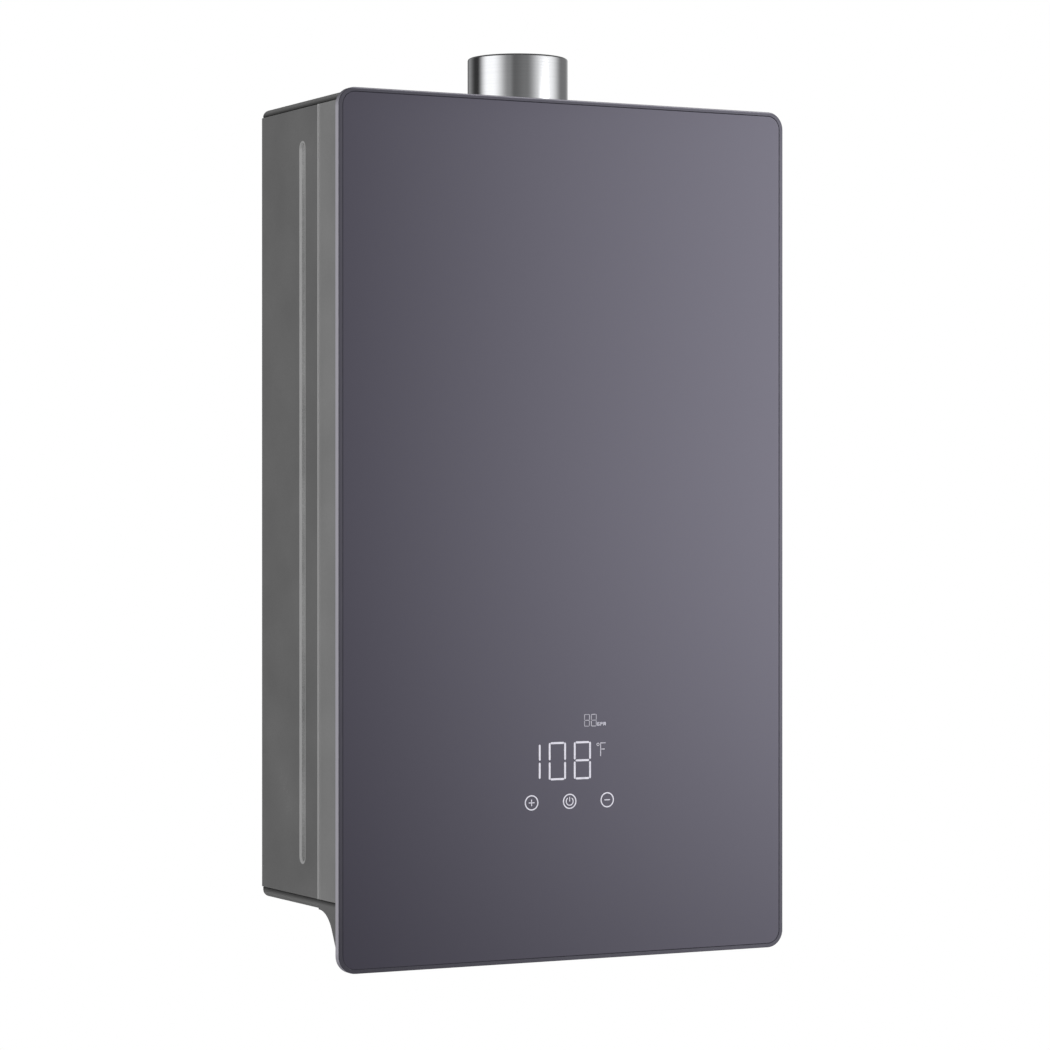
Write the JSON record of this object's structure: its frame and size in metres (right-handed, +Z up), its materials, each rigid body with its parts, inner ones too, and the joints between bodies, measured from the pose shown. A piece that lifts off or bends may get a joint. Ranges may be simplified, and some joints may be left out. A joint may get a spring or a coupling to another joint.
{
  "type": "wall-hung gas water heater",
  "caption": "Slim wall-hung tankless gas water heater: steel casing, glass front with touch display, round flue collar on top, threaded water and gas connections below.",
  "frame": {"origin": "on the wall plane, in the middle of the four wall fixings", "axes": "+X to the right seen from the front, +Y into the wall, +Z up"},
  "size_m": [0.372, 0.146, 0.6761],
  "materials": {
    "casing_paint": "satin powder coat",
    "cover_paint": "satin powder coat",
    "cap_paint": "fine satin moulding",
    "trim_metal": "satin anodised",
    "panel_glass": "tempered, back-painted, glossy",
    "flue_steel": "polished stainless",
    "inner_steel": "zinc plated",
    "machined_steel": "ground",
    "copper": "drawn copper",
    "brass": "machined brass",
    "cast_metal": "die cast",
    "black_plastic": "moulded",
    "white_plastic": "moulded",
    "circuit_board": "solder resist",
    "rubber": "moulded",
    "silicone": "moulded"
  },
  "bodies": {
    "casing": {"rear_casing": "casing_paint", "front_cover": "cover_paint", "top_cap": "cap_paint", "bottom_cap": "cap_paint", "cap_screws": "machined_steel", "trim_frame": "trim_metal", "glass_panel": "panel_glass", "bonding_tape": "rubber", "display_holder": "black_plastic", "display_board": "circuit_board", "touch_pads": "rubber", "flue_gasket": "silicone", "flue_flange": "flue_steel", "flue_collar": "flue_steel", "fan_housing": "inner_steel", "fan_housing_cover": "inner_steel", "fan_motor": "black_plastic", "motor_bearings": "machined_steel", "fume_hood": "inner_steel", "exchanger_jacket": "copper", "exchanger_tubes": "copper", "fin_pack": "copper", "jacket_coil": "copper", "temperature_sensors": "white_plastic", "burner_tray": "inner_steel", "burner_blades": "inner_steel", "gas_manifold": "cast_metal", "flame_electrodes": "white_plastic", "hot_outlet_fitting": "brass", "gas_inlet_fitting": "brass", "cold_inlet_fitting": "brass", "pipe_grommets": "rubber", "inlet_filter": "white_plastic", "gas_valve_body": "cast_metal", "valve_coils": "black_plastic", "cutoff_spring": "machined_steel", "modulating_spring": "machined_steel", "gas_pipe": "copper", "flow_sensor_body": "black_plastic", "cold_pipe": "copper", "hot_pipe": "copper", "drain_spigot": "brass", "component_plate": "inner_steel", "control_box": "white_plastic", "control_board": "circuit_board", "ignition_module": "black_plastic", "power_transformer": "inner_steel", "pressure_switch": "white_plastic", "pressure_hose": "silicone", "cable_gland": "black_plastic"},
    "fan": {"fan_impeller": "inner_steel", "motor_shaft": "machined_steel"},
    "flap": {"backflow_flap": "inner_steel", "flap_pin": "machined_steel"},
    "turbine": {"flow_rotor": "white_plastic"},
    "cutoff": {"cutoff_plunger": "machined_steel"},
    "modulator": {"modulating_plunger": "machined_steel"},
    "plug": {"drain_plug": "black_plastic", "drain_seal": "rubber"},
    "diaphragm": {"switch_diaphragm": "rubber"}
  },
  "joints": [
    {"name": "fan_spin", "type": "hinge", "parent": "casing", "child": "fan", "pos_m": [-0.04, -0.065, 0.185], "axis": [0, -1, 0], "continuous": true},
    {"name": "flap_swing", "type": "hinge", "parent": "casing", "child": "flap", "pos_m": [0, -0.057, 0.2902], "axis": [-1, 0, 0], "range_deg": [0, 75]},
    {"name": "turbine_spin", "type": "hinge", "parent": "casing", "child": "turbine", "pos_m": [0.11, -0.066, -0.2265], "axis": [0, 0, 1], "continuous": true},
    {"name": "cutoff_lift", "type": "slide", "parent": "casing", "child": "cutoff", "axis": [0, 0, 1], "range_m": [0, 0.003], "stiffness_N_per_m": 250, "springref_m": -0.004, "deforming": ["cutoff_spring"]},
    {"name": "modulating_lift", "type": "slide", "parent": "casing", "child": "modulator", "axis": [0, 0, 1], "range_m": [0, 0.004], "stiffness_N_per_m": 250, "springref_m": -0.004, "deforming": ["modulating_spring"]},
    {"name": "drain_turn", "type": "hinge", "parent": "casing", "child": "plug", "pos_m": [0.072, -0.066, -0.312], "axis": [0, 0, -1], "range_deg": [0, 360]},
    {"name": "diaphragm_press", "type": "slide", "parent": "casing", "child": "diaphragm", "axis": [0, 1, 0], "range_m": [0, 0.0015], "stiffness_N_per_m": 200, "springref_m": -0.001}
  ]
}
